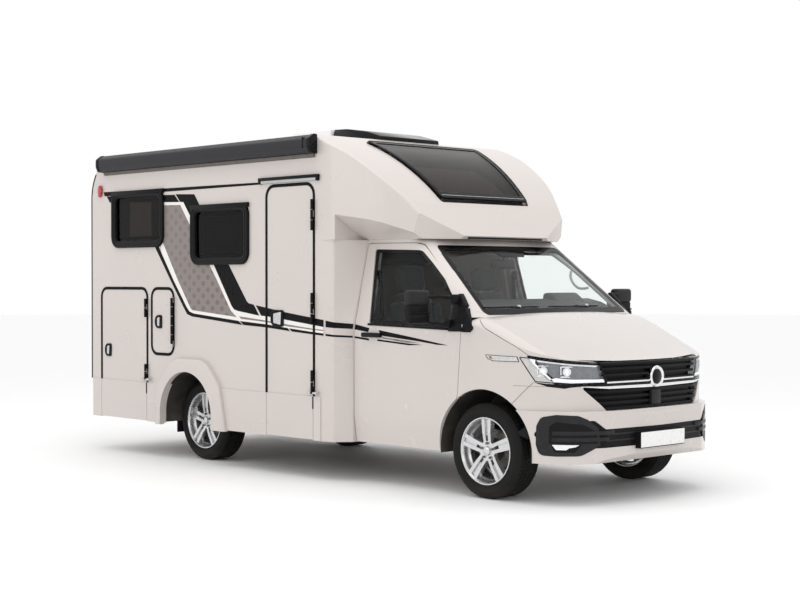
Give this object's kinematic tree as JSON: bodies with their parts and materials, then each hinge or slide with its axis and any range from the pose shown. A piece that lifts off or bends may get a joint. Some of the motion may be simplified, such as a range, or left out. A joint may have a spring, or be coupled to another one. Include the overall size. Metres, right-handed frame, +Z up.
{
  "type": "camper van",
  "caption": "Semi-integrated camper van: a light van cab with a panel living box, overcab nose with skylight, hinged doors and steered front wheels.",
  "frame": {"origin": "on the ground, midway along and across the whole vehicle", "axes": "+X to the front, +Y to the vehicle's left, +Z up"},
  "size_m": [5.852, 2.5908, 2.89],
  "materials": {
    "box_paint": "gloss",
    "cab_paint": "gloss",
    "panel_floor": "satin",
    "dark_plastic": "matte",
    "tinted_acrylic": "gloss",
    "clear_glass": "gloss",
    "awning_metal": "satin",
    "lamp_red": "gloss",
    "lamp_clear": "gloss",
    "seat_fabric": "matte",
    "frame_steel": "satin",
    "cast_block": "matte",
    "tyre_rubber": "matte",
    "alloy": "gloss"
  },
  "bodies": {
    "body": {"living_floor": "panel_floor", "side_wall_right": "box_paint", "side_wall_left": "box_paint", "rear_wall": "box_paint", "roof": "box_paint", "rooflights": "dark_plastic", "nose_cap": "box_paint", "box_windows": "tinted_acrylic", "skirts": "box_paint", "columns": "box_paint", "awning": "awning_metal", "rear_bumper": "box_paint", "rear_lamps": "lamp_red", "cab_shell": "cab_paint", "windscreen": "clear_glass", "front_wings": "cab_paint", "front_bumper": "cab_paint", "grille": "dark_plastic", "headlamps": "lamp_clear", "dashboard": "dark_plastic", "seats": "seat_fabric", "chassis": "frame_steel", "engine": "cast_block", "tanks": "dark_plastic", "rear_axle": "frame_steel"},
    "entry_door": {"entry_door": "box_paint"},
    "garage_door": {"garage_door": "box_paint"},
    "locker_door": {"locker_door": "box_paint"},
    "cassette_flap": {"cassette_flap": "box_paint"},
    "cab_door_right": {"cab_door_right": "cab_paint", "cab_glass_right": "clear_glass", "mirror_right": "dark_plastic"},
    "cab_door_left": {"cab_door_left": "cab_paint", "cab_glass_left": "clear_glass", "mirror_left": "dark_plastic"},
    "bonnet": {"bonnet": "cab_paint"},
    "steering_wheel": {"steering_wheel": "dark_plastic"},
    "knuckle_right": {"knuckle_right": "cast_block"},
    "knuckle_left": {"knuckle_left": "cast_block"},
    "wheel_fr": {"tyre_fr": "tyre_rubber", "rim_fr": "alloy"},
    "wheel_fl": {"tyre_fl": "tyre_rubber", "rim_fl": "alloy"},
    "wheel_rr": {"tyre_rr": "tyre_rubber", "rim_rr": "alloy"},
    "wheel_rl": {"tyre_rl": "tyre_rubber", "rim_rl": "alloy"}
  },
  "joints": [
    {"name": "steer_left", "type": "hinge", "parent": "body", "child": "knuckle_left", "pos_m": [2.032, 0.7, 0.345], "axis": [0, 0, 1], "range_deg": [-33, 33]},
    {"name": "steer_right", "type": "hinge", "parent": "body", "child": "knuckle_right", "pos_m": [2.032, -0.7, 0.345], "axis": [0, 0, 1], "range_deg": [-33, 33]},
    {"name": "steering_wheel_turn", "type": "hinge", "parent": "body", "child": "steering_wheel", "pos_m": [1.37, 0.43, 1.235], "axis": [-0.848, 0, 0.5299], "range_deg": [-496, 496]},
    {"name": "spin_front_right", "type": "hinge", "parent": "knuckle_right", "child": "wheel_fr", "pos_m": [2.032, -0.812, 0.345], "axis": [0, 1, 0], "continuous": true},
    {"name": "spin_front_left", "type": "hinge", "parent": "knuckle_left", "child": "wheel_fl", "pos_m": [2.032, 0.812, 0.345], "axis": [0, 1, 0], "continuous": true},
    {"name": "spin_rear_right", "type": "hinge", "parent": "body", "child": "wheel_rr", "pos_m": [-1.368, -0.812, 0.345], "axis": [0, 1, 0], "continuous": true},
    {"name": "spin_rear_left", "type": "hinge", "parent": "body", "child": "wheel_rl", "pos_m": [-1.368, 0.812, 0.345], "axis": [0, 1, 0], "continuous": true},
    {"name": "cab_door_right_hinge", "type": "hinge", "parent": "body", "child": "cab_door_right", "pos_m": [1.865, -0.948, 1], "axis": [0, 0, 1], "range_deg": [0, 65]},
    {"name": "cab_door_left_hinge", "type": "hinge", "parent": "body", "child": "cab_door_left", "pos_m": [1.865, 0.948, 1], "axis": [0, 0, -1], "range_deg": [0, 65]},
    {"name": "entry_door_hinge", "type": "hinge", "parent": "body", "child": "entry_door", "pos_m": [0.336, -1.124, 1.3], "axis": [0, 0, 1], "range_deg": [0, 165]},
    {"name": "garage_door_hinge", "type": "hinge", "parent": "body", "child": "garage_door", "pos_m": [-1.979, -1.124, 0.9], "axis": [0, 0, 1], "range_deg": [0, 165]},
    {"name": "locker_door_hinge", "type": "hinge", "parent": "body", "child": "locker_door", "pos_m": [-1.572, -1.124, 1.2], "axis": [0, 0, 1], "range_deg": [0, 165]},
    {"name": "cassette_flap_hinge", "type": "hinge", "parent": "body", "child": "cassette_flap", "pos_m": [-0.234, 1.124, 0.93], "axis": [0, 0, -1], "range_deg": [0, 165]},
    {"name": "bonnet_hinge", "type": "hinge", "parent": "body", "child": "bonnet", "pos_m": [1.945, 0, 1.3], "axis": [0, -1, 0], "range_deg": [0, 50]}
  ],
  "couplings": [
    {"joint": "steer_right", "follows": "steer_left", "ratio": 1},
    {"joint": "steering_wheel_turn", "follows": "steer_left", "ratio": 15}
  ]
}
